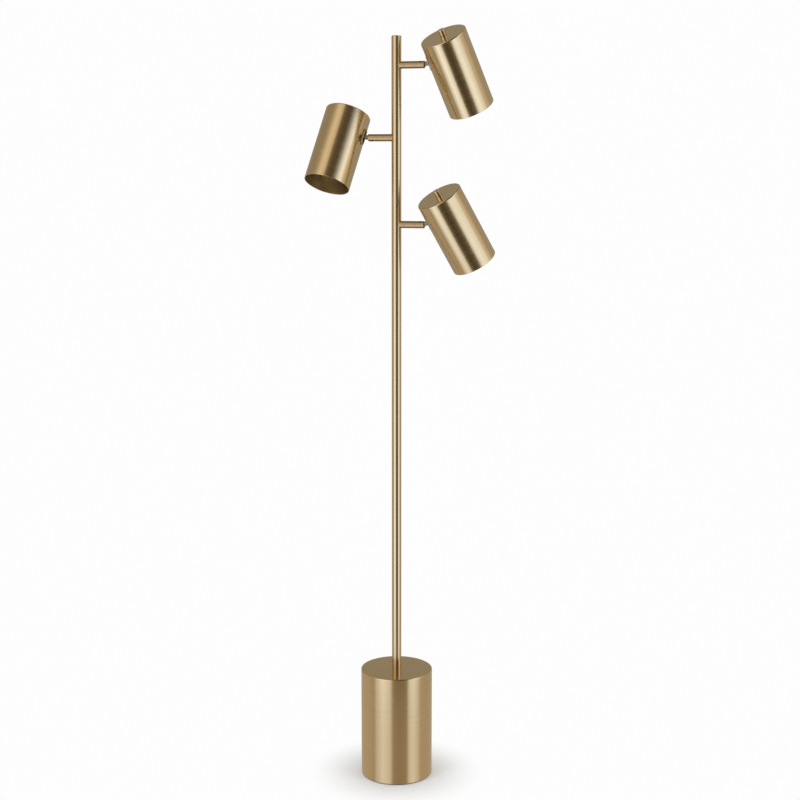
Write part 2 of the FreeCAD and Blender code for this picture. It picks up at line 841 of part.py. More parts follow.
def make_lampholder(name):
    """Moulded holder: a threaded neck through the cap, the switch's housing and the bulb's socket."""
    body = new_body(f"{name}_lampholder")
    spindle_hole = size("spindle_dia") / 2.0 + size("running_gap")
    switch_low = ceiling - size("switch_length")
    hole_low = spindle_low - size("face_gap")
    corners = [
        (spindle_hole, neck_top),
        (size("ring_bore") / 2.0, neck_top),
        (size("ring_bore") / 2.0, ceiling),
        (size("switch_dia") / 2.0, ceiling),
        (size("switch_dia") / 2.0, switch_low),
        (size("holder_dia") / 2.0, switch_low - size("holder_slope")),
        (size("holder_dia") / 2.0, holder_low),
        (size("holder_bore") / 2.0, holder_low),
        (size("holder_bore") / 2.0, contact_z),
        (ZERO, contact_z),
        (ZERO, hole_low),
        (spindle_hole, hole_low),
    ]
    revolve(body, polygon(new_sketch(body, "XZ_Plane"), corners))
    body.Placement = shade_place(name)
    return body


def make_ring_nut(name):
    """Ring nut that clamps the lampholder to the cap, hidden under the knob."""
    high = cap_face + size("ring_thick")
    body = tube(f"{name}_ring_nut", ring_radius, size("ring_bore") / 2.0, cap_face, high)
    body.Placement = shade_place(name)
    return body


def make_spindle(name):
    body = new_body(f"{name}_switch_spindle")
    sketch = circle(new_sketch(body, "XY_Plane", spindle_low), size("spindle_dia") / 2.0)
    pad(body, sketch, spindle_top - spindle_low)
    body.Placement = shade_place(name)
    return body


def make_knob(name):
    """Turned knob: hollow foot over the ring nut, plain barrel and a rounded lip at its end."""
    body = new_body(f"{name}_switch_knob")
    low = cap_face + size("knob_gap")
    high = low + size("knob_length")
    lip_low = high - size("knob_lip_length")
    recess = ring_radius + size("knob_gap")
    barrel, lip = size("knob_dia") / 2.0, size("knob_lip_dia") / 2.0
    seat = size("spindle_dia") / 2.0
    corners = [
        (recess, low),
        (barrel, low),
        (barrel, lip_low),
        (lip, lip_low),
        (lip, high),
        (ZERO, high),
        (ZERO, spindle_top),
        (seat, spindle_top),
        (seat, knob_recess_top),
        (recess, knob_recess_top),
    ]
    revolve(body, polygon(new_sketch(body, "XZ_Plane"), corners))
    soften(body, "Fillet", size("knob_round"), lambda edge: is_ring(edge, lip, z=high))
    body.Placement = shade_place(name)
    return body


def make_bulb_cap(name):
    """Screw cap of the bulb, its contact against the socket's floor."""
    body = new_body(f"{name}_bulb_cap")
    thread = size("holder_bore") / 2.0 - size("bulb_thread_gap")
    collar = contact_z - size("contact_height") - size("insulator_height")
    corners = [
        (ZERO, contact_z),
        (size("contact_dia") / 2.0, contact_z),
        (size("contact_dia") / 2.0, contact_z - size("contact_height")),
        (size("insulator_dia") / 2.0, collar),
        (thread, collar),
        (thread, bulb_cap_low),
        (ZERO, bulb_cap_low),
    ]
    revolve(body, polygon(new_sketch(body, "XZ_Plane"), corners))
    body.Placement = shade_place(name)
    return body


def make_bulb_glass(name):
    """Round bulb: a neck out of the socket, a sloping shoulder and a ball."""
    ball_radius = size("bulb_dia") / 2.0
    ball_z = contact_z - size("bulb_length") + ball_radius
    shoulder = size("bulb_shoulder_dia") / 2.0
    shoulder_rise = math.sqrt(ball_radius.value**2 - shoulder.value**2) / ball_radius.value
    shoulder_z = ball_z + ball_radius * shoulder_rise
    neck_low = holder_low - size("bulb_neck_out")
    body = new_body(f"{name}_bulb_glass")
    corners = [
        (ZERO, bulb_cap_low),
        (size("bulb_neck_dia") / 2.0, bulb_cap_low),
        (size("bulb_neck_dia") / 2.0, neck_low),
        (shoulder, shoulder_z),
        (ZERO, shoulder_z),
    ]
    revolve(body, polygon(new_sketch(body, "XZ_Plane"), corners))
    ball = body.newObject("PartDesign::AdditiveSphere", "Ball")
    bind(ball, "Radius", ball_radius)
    ball.setExpression("AttachmentOffset.Base.z", ball_z.formula)
    upright = next(f for f in body.Origin.OriginFeatures if f.Role == "XY_Plane")
    ball.AttachmentSupport = (upright, [""])
    ball.MapMode = "FlatFace"
    doc.recompute()
    body.Placement = shade_place(name)
    return body


# ---------------------------------------------------------------- the whole lamp

make_base_shell()
make_base_weight()
make_base_plate()
make_base_pad()
make_plate_screws()
make_cord_gland()
make_tie_rod()
make_rod_washers()
make_rod_nuts()
make_pole()
make_pole_cap()

group("arm_stubs", [make_arm_stub(name) for name in HEADS])
group("arm_grubs", [make_arm_grub(name) for name in HEADS])
group("arm_bushes", [make_arm_bush(name) for name in HEADS])
for head in HEADS:
    make_arm_tube(head)
    make_fork(head)
    make_stem_clip(head)
    make_pivot_pin(head)
    make_neck(head)
    make_saddle(head)
    make_neck_nut(head)
    make_shade(head)
    make_lampholder(head)
    make_ring_nut(head)
    make_spindle(head)
    make_knob(head)
    make_bulb_cap(head)
    make_bulb_glass(head)

doc.recompute()

grouped = [
    member
    for thing in doc.Objects
    if thing.TypeId == "Part::Compound"
    for member in thing.Links
]
for thing in doc.Objects:
    if "Invalid" in thing.State or "Error" in thing.State:
        raise ValueError(f"{thing.Label} has failed: {thing.State}")
subparts = [
    thing
    for thing in doc.Objects
    if thing.TypeId in ("PartDesign::Body", "Part::Compound") and thing not in grouped
]
for part in subparts:
    if part.Shape.isNull() or not part.Shape.isValid():
        raise ValueError(f"{part.Label} has no valid shape")

os.makedirs("parts", exist_ok=True)
for part in subparts:
    part.Shape.exportStep(f"parts/{part.Label}.step")
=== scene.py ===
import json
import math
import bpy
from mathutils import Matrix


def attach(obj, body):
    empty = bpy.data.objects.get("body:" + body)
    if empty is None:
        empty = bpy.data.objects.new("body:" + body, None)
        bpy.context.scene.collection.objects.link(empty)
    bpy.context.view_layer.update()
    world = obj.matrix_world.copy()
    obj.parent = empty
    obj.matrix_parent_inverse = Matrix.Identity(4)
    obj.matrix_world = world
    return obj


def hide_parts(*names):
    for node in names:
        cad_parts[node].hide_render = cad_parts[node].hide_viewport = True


bl_info = {
    "name": "Tree Floor Lamp",
    "version": (1, 0, 0),
    "blender": (4, 5, 0),
    "location": "View3D > Sidebar > Floor Lamp",
    "description": "Dresses a brass floor lamp with three spot heads and lights it in a studio",
    "category": "Add Mesh",
}

from functools import cache

import bmesh
import bpy
from bpy.props import FloatProperty, FloatVectorProperty, IntProperty, PointerProperty
from mathutils import Matrix, Vector

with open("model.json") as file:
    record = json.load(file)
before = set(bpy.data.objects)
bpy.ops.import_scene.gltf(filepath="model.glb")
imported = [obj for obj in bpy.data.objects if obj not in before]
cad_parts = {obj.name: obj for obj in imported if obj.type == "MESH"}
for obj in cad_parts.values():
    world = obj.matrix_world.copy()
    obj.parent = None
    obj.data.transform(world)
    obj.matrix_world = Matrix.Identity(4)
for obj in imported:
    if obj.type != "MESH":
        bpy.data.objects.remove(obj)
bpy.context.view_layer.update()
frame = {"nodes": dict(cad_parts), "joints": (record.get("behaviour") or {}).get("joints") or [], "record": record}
JOINTS = {joint["name"]: joint for joint in frame["joints"]}
HEADS = ("top", "middle", "low")
UP = Vector((0, 0, 1))
SHARP_ANGLE = math.radians(35.0)


# ---------------------------------------------------------------- sizes and colours to set


def length(label, about, default):
    """A size in metres."""
    return FloatProperty(name=label, description=about, default=default, min=0.0, unit="LENGTH")


def colour(label, about, default):
    """A colour, which may be brighter than white where it stands for light."""
    return FloatVectorProperty(
        name=label, description=about, default=default, subtype="COLOR", size=3, min=0.0, max=4.0
    )


class BaseAndPoleSizes(bpy.types.PropertyGroup):
    """The drum base and the pole."""

    drum_diameter: length("Drum diameter", "Outside of the drum base", 0.145)
    drum_top: length("Drum top", "The drum's top face above the floor", 0.224)
    drum_wall: length("Drum wall", "Sheet thickness of the drum", 0.0015)
    drum_round: length("Drum edge", "Radius of the drum's top edge", 0.002)
    pad_thick: length("Pad thickness", "Foam pad between the drum and the floor", 0.002)
    pad_inset: length("Pad inset", "How far the pad stops inside the drum", 0.003)
    rod_hole: length("Rod hole", "Radius of the hole for the tie rod", 0.0052)
    gland_height: length("Inlet height", "Height of the mains inlet at the back", 0.016)
    gland_flange: length("Inlet flange", "Radius of the inlet's flange", 0.006)
    pole_diameter: length("Pole diameter", "Outside of the pole", 0.019)
    pole_wall: length("Pole wall", "Tube wall of the pole", 0.0015)
    pole_joint: length("Pole joint", "Height at which the two lengths of pole meet", 1.066)
    pole_top: length("Pole top", "Height of the pole's cap", 1.488)
    cap_thick: length("Cap thickness", "Height of the cap above the tube", 0.004)
    cap_round: length("Cap edge", "Radius of the cap's edge", 0.0015)


class ArmSizes(bpy.types.PropertyGroup):
    """The arms and the knuckles at their ends."""

    arm_diameter: length("Arm diameter", "Outside of an arm and of its fork", 0.014)
    arm_wall: length("Arm wall", "Tube wall of an arm", 0.0015)
    fork_length: length("Fork length", "From the fork's shoulder to the tilt pin", 0.015)
    fork_nose: length("Fork nose", "From the tilt pin to the fork's end", 0.0035)
    fork_gap: length("Fork gap", "Gap between the arm's end and the fork", 0.0002)
    slot_width: length("Slot width", "Width of the fork's slot", 0.0062)
    slot_back: length("Slot depth", "From the tilt pin to the slot's floor", 0.007)
    pin_diameter: length("Pin diameter", "Diameter of the tilt pin", 0.004)
    grub_place: length("Grub screw place", "From the pole's surface to the grub screw", 0.008)
    neck_reach: length("Neck reach", "From the tilt pin to the shade's wall", 0.014)
    saddle_length: length("Saddle length", "Length of the saddle along the shade", 0.033)
    saddle_width: length("Saddle width", "Width of the saddle across the shade", 0.0125)
    saddle_thick: length("Saddle thickness", "Thickness of the saddle at its middle", 0.0024)


class HeadSizes(bpy.types.PropertyGroup):
    """The shades, switches and bulbs."""

    shade_diameter: length("Shade diameter", "Outside of a shade", 0.090)
    shade_length: length("Shade length", "From the cap's face to the mouth", 0.1536)
    shade_wall: length("Shade wall", "Sheet thickness of a shade", 0.0012)
    shade_round: length("Shade edge", "Radius of the cap's edge", 0.0022)
    cap_to_neck: length("Cap to neck", "From the cap's face to the neck's middle", 0.0436)
    knob_diameter: length("Knob diameter", "Barrel of the switch knob", 0.0122)
    knob_lip: length("Knob lip", "Diameter of the knob's lip", 0.0136)
    knob_length: length("Knob length", "Length of the switch knob", 0.012)
    knob_lip_length: length("Knob lip length", "Height of the knob's lip", 0.0026)
    knob_round: length("Knob edge", "Radius of the knob's outer edge", 0.0013)
    spindle_seat: length("Spindle seat", "Depth of the knob's bore past its recess", 0.0055)
    bulb_diameter: length("Bulb diameter", "Ball of the bulb", 0.045)
    bulb_length: length("Bulb length", "Bulb from its contact to its tip", 0.078)
    bulb_cap: length("Bulb cap", "Length of the bulb's screw cap", 0.025)
    holder_diameter: length("Holder diameter", "Outside of the lampholder", 0.039)
    holder_length: length("Holder length", "From the shade's cap to the holder's mouth", 0.050)
    socket_depth: length("Socket depth", "Depth of the holder's bore for the bulb", 0.030)
    facets: IntProperty(
        name="Facets", description="Segments round a turned piece", default=160, min=24, max=512
    )


class LampColours(bpy.types.PropertyGroup):
    """Colours of the finishes."""

    brass: colour("Brass", "Brushed brass of the tubes and shades", (0.66, 0.49, 0.26))
    # The arm colour is the same brass as the pole, darkened and browned: painted shade standing in for the darker
    # reflections along the arms, forks, pins and saddles.
    arm: colour("Arm brass", "Darker brass of the arms, forks and saddles", (0.40, 0.275, 0.130))
    knob: colour("Knob brass", "Turned brass of the switch knobs", (0.68, 0.50, 0.27))
    lining: colour("Shade lining", "Inside of the shades", (0.70, 0.54, 0.29))
    steel: colour("Plated steel", "Zinc plated hardware", (0.62, 0.60, 0.56))
    browned: colour("Browned steel", "Necks and clips", (0.27, 0.21, 0.13))
    tin: colour("Tinned metal", "Caps of the bulbs", (0.72, 0.72, 0.70))
    bronze: colour("Bronze", "Bushes in the arms", (0.42, 0.25, 0.11))
    iron: colour("Cast iron", "Weight in the drum", (0.06, 0.06, 0.065))
    rubber: colour("Rubber", "Foam pad and inlet", (0.018, 0.018, 0.019))
    moulding: colour("Moulding", "Lampholders", (0.022, 0.021, 0.020))
    glass: colour("Opal glass", "Bulbs", (0.86, 0.84, 0.78))


class StudioSettings(bpy.types.PropertyGroup):
    """The backdrop and the lights that the metal mirrors."""

    azimuth: FloatProperty(
        name="View azimuth",
        description="Turn of the camera about the lamp",
        default=math.radians(16.0),
        subtype="ANGLE",
    )
    pitch: FloatProperty(
        name="View pitch",
        description="Downward pitch of the camera",
        default=math.radians(9.4),
        subtype="ANGLE",
    )
    distance: length("Camera distance", "From the pole to the camera, level", 2.893)
    height: length("Camera height", "Camera above the floor", 1.260)
    sideways: length("Camera shift", "Camera to the right of the pole", 0.0069)
    lens: FloatProperty(name="Lens", description="Focal length on a 36 mm sensor", default=66.24)
    room: colour("Room", "What the metal mirrors between the lights", (0.52, 0.48, 0.43))
    wall: colour("Far wall", "What the flat tops mirror behind the lamp", (0.365, 0.335, 0.275))
    bank: colour("Light banks", "The two tall banks of light", (1.34, 1.53, 1.98))
    dark: colour("Dark gap", "The unlit gap between the banks", (0.11, 0.088, 0.06))
    ceiling: colour("Ceiling", "What the metal mirrors high above and below", (0.17, 0.16, 0.155))
    glow: colour("Floor glow", "What the base mirrors of the floor", (0.62, 0.54, 0.44))
    paper: colour("Paper", "The floor beside the lamp", (0.86, 0.86, 0.855))
    white: colour("Backdrop", "What the eye sees behind the lamp", (0.985, 0.985, 0.985))
    ambient: colour("Ambient", "Even light on the matt pieces", (0.90, 0.90, 0.90))


def sizes(group):
    """The named group of sizes or colours, as set in the panel."""
    return getattr(bpy.context.scene, group)


# ---------------------------------------------------------------- mesh helpers


def rounded(points, radii, steps=6):
    """The outline with an arc of the given radius in place of each listed corner."""
    out = []
    count = len(points)
    for i, point in enumerate(points):
        here, radius = Vector(point), radii.get(i)
        if not radius:
            out.append(here)
            continue
        back = (Vector(points[i - 1]) - here).normalized()
        ahead = (Vector(points[(i + 1) % count]) - here).normalized()
        half = back.angle(ahead) / 2
        centre = here + (back + ahead).normalized() * (radius / math.sin(half))
        start = (here + back * (radius / math.tan(half)) - centre).normalized()
        end = (here + ahead * (radius / math.tan(half)) - centre).normalized()
        out += [centre + start.slerp(end, k / steps) * radius for k in range(steps + 1)]
    return out


def held(outline, closed):
    """The outline with points near the ends of its long runs, which keep their shading true."""
    near, long = 0.0003, 0.003
    out = []
    count = len(outline)
    for i, point in enumerate(outline):
        here, following = Vector(point), Vector(outline[(i + 1) % count])
        out.append(here)
        run = following - here
        if run.length > long and (closed or i < count - 1):
            step = run.normalized() * near
            out += [here + step, following - step]
    return out


def curve(start, first, last, end, steps):
    """Points on a smooth curve that leaves towards the first handle and arrives from the last."""
    points = []
    for k in range(steps + 1):
        t = k / steps
        near = start * (1 - t) ** 3 + first * 3 * t * (1 - t) ** 2
        far = last * 3 * t**2 * (1 - t) + end * t**3
        points.append(near + far)
    return points


def skin(bm, rings, closed):
    """Faces from each ring of points to the next; a ring of one point is a tip on the axis."""
    pairs = list(zip(rings, rings[1:]))
    if closed:
        pairs.append((rings[-1], rings[0]))
    for low, high in pairs:
        around = max(len(low), len(high))
        if around == 1:
            continue
        for k in range(around):
            following = (k + 1) % around
            if len(low) == 1:
                corners = (low[0], high[k], high[following])
            elif len(high) == 1:
                corners = (low[k], high[0], low[following])
            else:
                corners = (low[k], high[k], high[following], low[following])
            bm.faces.new(corners)


def finish_mesh(name, bm, place):
    """An object from a bmesh, set in place, with smooth faces up to the sharp angle."""
    same_point = 1e-7
    bmesh.ops.remove_doubles(bm, verts=bm.verts, dist=same_point)
    bmesh.ops.recalc_face_normals(bm, faces=bm.faces)
    mesh = bpy.data.meshes.new(name)
    bm.to_mesh(mesh)
    bm.free()
    for polygon in mesh.polygons:
        polygon.use_smooth = True
    mesh.set_sharp_from_angle(angle=SHARP_ANGLE)
    piece = bpy.data.objects.new(name, mesh)
    bpy.context.scene.collection.objects.link(piece)
    piece.matrix_world = place
    return piece


def turned(name, outline, place=Matrix(), closed=True, around=None, bend=None):
    """A piece turned about its Z axis from an outline of (radius, height) points."""
    around = around or sizes("lamp_head_sizes").facets
    on_axis = 1e-9
    bm = bmesh.new()
    rings = []
    for radius, height in held(outline, closed):
        if radius < on_axis:
            rings.append([bm.verts.new((0, 0, height))])
            continue
        ring = []
        for k in range(around):
            turn = 2 * math.pi * k / around
            spot = Vector((radius * math.cos(turn), radius * math.sin(turn), height))
            ring.append(bm.verts.new(bend(spot) if bend else spot))
        rings.append(ring)
    skin(bm, rings, closed)
    return finish_mesh(name, bm, place)


def peg(name, radius, low, high, edge, place=Matrix(), steps=3, around=48):
    """A plain round bar with softened ends."""
    outline = [(0, low), (radius, low), (radius, high), (0, high)]
    outline = rounded(outline, {1: edge, 2: edge}, steps)
    return turned(name, outline, place, closed=False, around=around)


def cup(name, radius, wall, low, high, hole, hem, edges, place=Matrix(), steps=6):
    """A thin cup, open below, with a hole in its top and edges rounded outside and inside."""
    inner, under = radius - wall, high - wall
    outline = [
        (radius, low),
        (radius, high),
        (hole, high),
        (hole, under),
        (inner, under),
        (inner, low),
    ]
    outside, inside = edges
    outline = rounded(outline, {0: hem, 1: outside, 4: inside, 5: hem}, steps)
    return turned(name, outline, place)


def cut(piece, cutter):
    """Cuts the cutter's shape out of a piece and takes the cutter away."""
    bpy.context.view_layer.update()
    modifier = piece.modifiers.new("Cut", "BOOLEAN")
    modifier.operation = "DIFFERENCE"
    modifier.solver = "EXACT"
    modifier.object = cutter
    graph = bpy.context.evaluated_depsgraph_get()
    mesh = bpy.data.meshes.new_from_object(piece.evaluated_get(graph))
    piece.modifiers.clear()
    old = piece.data
    piece.data = mesh
    mesh.name = piece.name
    bpy.data.meshes.remove(old)
    bpy.data.objects.remove(cutter)
    mesh.set_sharp_from_angle(angle=SHARP_ANGLE)


def block(low, high, place):
    """A plain block, to cut with."""
    bm = bmesh.new()
    bmesh.ops.create_cube(bm, size=1.0)
    size = Vector(high) - Vector(low)
    middle = (Vector(high) + Vector(low)) / 2
    bmesh.ops.scale(bm, verts=bm.verts, vec=size)
    bmesh.ops.translate(bm, verts=bm.verts, vec=middle)
    return finish_mesh("cutter", bm, place)


def rod(radius, low, high, place):
    """A plain rod along the place's Z axis, to cut with."""
    return turned("cutter", [(0, low), (radius, low), (radius, high), (0, high)], place, around=48)


def paint(thing, *finishes):
    """Gives a piece the named finishes in place of any it had."""
    thing.data.materials.clear()
    for finish in finishes:
        thing.data.materials.append(finish_named(finish))


def dress(piece, body, slot, node, *finishes):
    """Sets a piece on its body in place of its CAD node, in its slot's finish or those named."""
    paint(piece, *(finishes or (slot,)))
    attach(piece, body)
    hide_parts(node)


# ---------------------------------------------------------------- places on the lamp


def axes(x, y, z, origin):
    """The place with these three axes at an origin."""
    matrix = Matrix((x, y, z)).transposed().to_4x4()
    matrix.translation = origin
    return matrix


def along(direction, origin):
    """A place whose Z axis runs along a direction that isn't upright, and whose X leans up."""
    z = Vector(direction).normalized()
    x = (UP - z * UP.dot(z)).normalized()
    return axes(x, z.cross(x), z, origin)


def axis_of(head, joint):
    """The direction of one of a head's joints."""
    return Vector(JOINTS[f"{head}_{joint}"]["axis"]).normalized()


def pivot(head, joint="head_tilt"):
    """Where one of a head's joints sits; without a name, its tilt."""
    return Vector(JOINTS[f"{head}_{joint}"]["pos_m"])


def arm_place(head):
    """On the pole's axis at the arm's height, Z outward along the arm, X up."""
    return along(axis_of(head, "swivel_turn"), UP * pivot(head).z)


def head_axes(head):
    """A head's own axes: X away from the pole, Y along the tilt pin, Z out of the cap."""
    y, z = -axis_of(head, "head_tilt"), axis_of(head, "switch_turn")
    return y.cross(z).normalized(), y, z


def neck_place(head):
    """At the tilt pin, Z out along the neck, Y along the pin."""
    x, y, z = head_axes(head)
    return axes(-z, y, x, pivot(head))


def fork_place(head):
    """At the tilt pin, Z out along the arm, Y along the pin."""
    y, out = -axis_of(head, "head_tilt"), axis_of(head, "swivel_turn")
    return axes(y.cross(out), y, out, pivot(head))


def pin_place(head):
    """At the tilt pin, Z along it."""
    return along(-axis_of(head, "head_tilt"), pivot(head))


def cap_place(head):
    """At the middle of the shade's cap, Z out of the cap, X away from the pole."""
    return axes(*head_axes(head), pivot(head, "switch_turn"))


# ---------------------------------------------------------------- finishes


class NodeBench:
    """A node tree under construction."""

    def __init__(self, tree):
        self.tree = tree

    def feed(self, socket, value):
        """A link from another socket, or a plain value."""
        if isinstance(value, bpy.types.NodeSocket):
            self.tree.links.new(value, socket)
        else:
            socket.default_value = value

    def add(self, kind, inputs=None, **settings):
        """A node of a kind, with its settings made and its inputs fed."""
        node = self.tree.nodes.new("ShaderNode" + kind)
        for name, value in settings.items():
            setattr(node, name, value)
        for socket, value in (inputs or {}).items():
            self.feed(node.inputs[socket], value)
        return node

    def math(self, operation, *values):
        """The result of a calculation on the values."""
        return self.add("Math", dict(enumerate(values)), operation=operation).outputs["Value"]

    def blend(self, factor, first, second):
        """The first colour, going over to the second with the factor."""
        inputs = {"Factor": factor, "A": first, "B": second}
        return self.add("Mix", inputs, data_type="RGBA").outputs["Result"]

    def step(self, value, start, end, low=0.0, high=1.0):
        """A soft step from low to high as the value goes from start to end."""
        inputs = {"From Min": start, "From Max": end, "To Min": low, "To Max": high}
        inputs["Value"] = value
        return self.add("MapRange", inputs, interpolation_type="SMOOTHSTEP").outputs["Result"]

    def plain(self, kind, rgb):
        """A shader of one even colour."""
        return self.add(kind, {"Color": (*rgb, 1.0)}).outputs[0]

    def either(self, factor, first, second):
        """The first shader, going over to the second with the factor."""
        return self.add("MixShader", {"Fac": factor, 1: first, 2: second}).outputs["Shader"]


class Finish(NodeBench):
    """A procedural material under construction."""

    def __init__(self, name):
        self.material = bpy.data.materials.new(name)
        self.material.use_nodes = True
        super().__init__(self.material.node_tree)
        self.shader = self.tree.nodes["Principled BSDF"]
        self.coords = self.add("TexCoord").outputs["Object"]

    def set(self, **values):
        """Feeds the shader's sockets, whose names have underscores for spaces here."""
        for socket, value in values.items():
            self.feed(self.shader.inputs[socket.replace("_", " ")], value)
        return self.material

    def noise(self, stretch, detail=4.0, rough=0.5):
        """Noise in the piece's own axes, stretched by a scale for each axis."""
        place = self.add("Mapping", {"Vector": self.coords, "Scale": stretch}).outputs["Vector"]
        inputs = {"Vector": place, "Scale": 1.0, "Detail": detail, "Roughness": rough}
        return self.add("TexNoise", inputs).outputs["Fac"]

    def ramp(self, factor, low, high, dark, light):
        """A colour from dark to light as the factor goes from low to high."""
        ramp = self.add("ValToRGB", {"Fac": factor})
        for element, position, rgb in zip(ramp.color_ramp.elements, (low, high), (dark, light)):
            element.position = position
            element.color = (*rgb, 1.0)
        return ramp.outputs["Color"]

    def spread(self, factor, low, high):
        """The factor carried from 0.3..0.7 to low..high."""
        inputs = {"Value": factor, "From Min": 0.3, "From Max": 0.7, "To Min": low, "To Max": high}
        return self.add("MapRange", inputs).outputs["Result"]

    def bump(self, factor, strength, distance):
        """Relief of a depth in metres."""
        inputs = {"Height": factor, "Strength": strength, "Distance": distance}
        return self.add("Bump", inputs).outputs["Normal"]


def shaded(rgb, amount):
    """The colour made darker or lighter."""
    return tuple(channel * amount for channel in rgb)


def brushed_metal(name, rgb, roughness, lines, turned_lines=0.55, lacquer=0.25):
    """Metal brushed round its Z axis: fine rings, faint streaks and a slight lacquer."""
    finish = Finish(name)
    fine = finish.noise((12.0, 12.0, lines), detail=3.0)
    streaks = finish.noise((6.0, 6.0, lines * 0.12), rough=0.6)
    cloud = finish.noise((9.0, 9.0, 9.0), detail=3.0)
    hue = finish.ramp(fine, 0.3, 0.7, shaded(rgb, 0.93), shaded(rgb, 1.05))
    patina = finish.ramp(streaks, 0.25, 0.75, shaded(rgb, 0.95), shaded(rgb, 1.03))
    tangent = finish.add("Tangent", direction_type="RADIAL", axis="Z")
    return finish.set(
        Base_Color=finish.blend(cloud, hue, patina),
        Roughness=finish.spread(streaks, roughness - 0.035, roughness + 0.045),
        Normal=finish.bump(fine, 0.10, 0.00004),
        Tangent=tangent.outputs["Tangent"],
        Metallic=1.0,
        Anisotropic=turned_lines,
        Anisotropic_Rotation=0.25,
        Coat_Weight=lacquer,
        Coat_Roughness=0.22,
        Coat_IOR=1.45,
    )


def plain_metal(name, rgb, roughness, grain=900.0):
    """Metal with a fine even grain and small changes of shade."""
    finish = Finish(name)
    fine = finish.noise((grain, grain, grain), detail=2.0)
    cloud = finish.noise((40.0, 40.0, 40.0))
    return finish.set(
        Base_Color=finish.ramp(cloud, 0.3, 0.7, shaded(rgb, 0.86), shaded(rgb, 1.06)),
        Roughness=finish.spread(fine, roughness - 0.05, roughness + 0.07),
        Normal=finish.bump(fine, 0.15, 0.00005),
        Metallic=1.0,
    )


def matt_solid(name, rgb, roughness, grain, depth, coarse=60.0):
    """Rubber, foam, moulding or casting: a pitted matt skin."""
    finish = Finish(name)
    pits = finish.noise((grain, grain, grain), detail=5.0, rough=0.65)
    cloud = finish.noise((coarse, coarse, coarse), detail=3.0)
    return finish.set(
        Base_Color=finish.ramp(cloud, 0.3, 0.7, shaded(rgb, 0.75), shaded(rgb, 1.3)),
        Roughness=finish.spread(pits, roughness - 0.08, roughness + 0.08),
        Normal=finish.bump(pits, 0.5, depth),
    )


def opal_glass(name, rgb):
    """White glass with a soft depth and a smooth skin."""
    finish = Finish(name)
    cloud = finish.noise((30.0, 30.0, 30.0), detail=2.0)
    return finish.set(
        Base_Color=finish.ramp(cloud, 0.2, 0.8, shaded(rgb, 0.97), shaded(rgb, 1.02)),
        Roughness=finish.spread(cloud, 0.16, 0.20),
        Subsurface_Weight=0.35,
        Subsurface_Scale=0.004,
        Coat_Weight=0.6,
        Coat_Roughness=0.05,
    )


FINISHES = {
    "brushed_brass": (brushed_metal, "brass", 0.175, 1800.0),
    "brass_ends": (brushed_metal, "brass", 0.22, 900.0),
    # Painted shade: a darkened copy of the brushed brass, used on the arms, forks, tilt pins, grub screws and
    # saddles.
    "shaded_arm_brass": (brushed_metal, "arm", 0.19, 1800.0),
    "turned_knob": (brushed_metal, "knob", 0.14, 2600.0, 0.3, 0.5),
    "shade_lining": (brushed_metal, "lining", 0.34, 900.0, 0.3, 0.1),
    "cast_brass": (plain_metal, "brass", 0.26),
    "plated_steel": (plain_metal, "steel", 0.28),
    "dark_steel": (plain_metal, "browned", 0.34),
    "bearing_bronze": (plain_metal, "bronze", 0.30),
    "bulb_cap_metal": (plain_metal, "tin", 0.24),
    "cast_weight": (matt_solid, "iron", 0.62, 700.0, 0.0006),
    "black_rubber": (matt_solid, "rubber", 0.72, 1500.0, 0.0002),
    "black_moulding": (matt_solid, "moulding", 0.42, 2200.0, 0.00008),
    "opal_glass": (opal_glass, "glass"),
}


@cache
def finish_named(name):
    """A finish, made once from its row: maker, colour, then roughness, grain and so on."""
    maker, tone, *values = FINISHES[name]
    return maker(name, getattr(sizes("lamp_colours"), tone), *values)


# ---------------------------------------------------------------- operators


class LAMP_OT_dress_hardware(bpy.types.Operator):
    """Gives every CAD piece a finish that suits its material slot"""

    bl_idname = "lamp.dress_hardware"
    bl_label = "Dress the hardware"

    def execute(self, context):
        finish_of = {"brushed_brass": "cast_brass", "polished_brass": "turned_knob"}
        for row in frame["record"]["subparts"]:
            node, slot = row["node"], row["material_slot"]
            finish = finish_of.get(slot, slot)
            if node.endswith("_neck"):
                finish = "dark_steel"
            elif node == "arm_grubs":
                finish = "shaded_arm_brass"
            paint(frame["nodes"][node], finish)
        return {"FINISHED"}


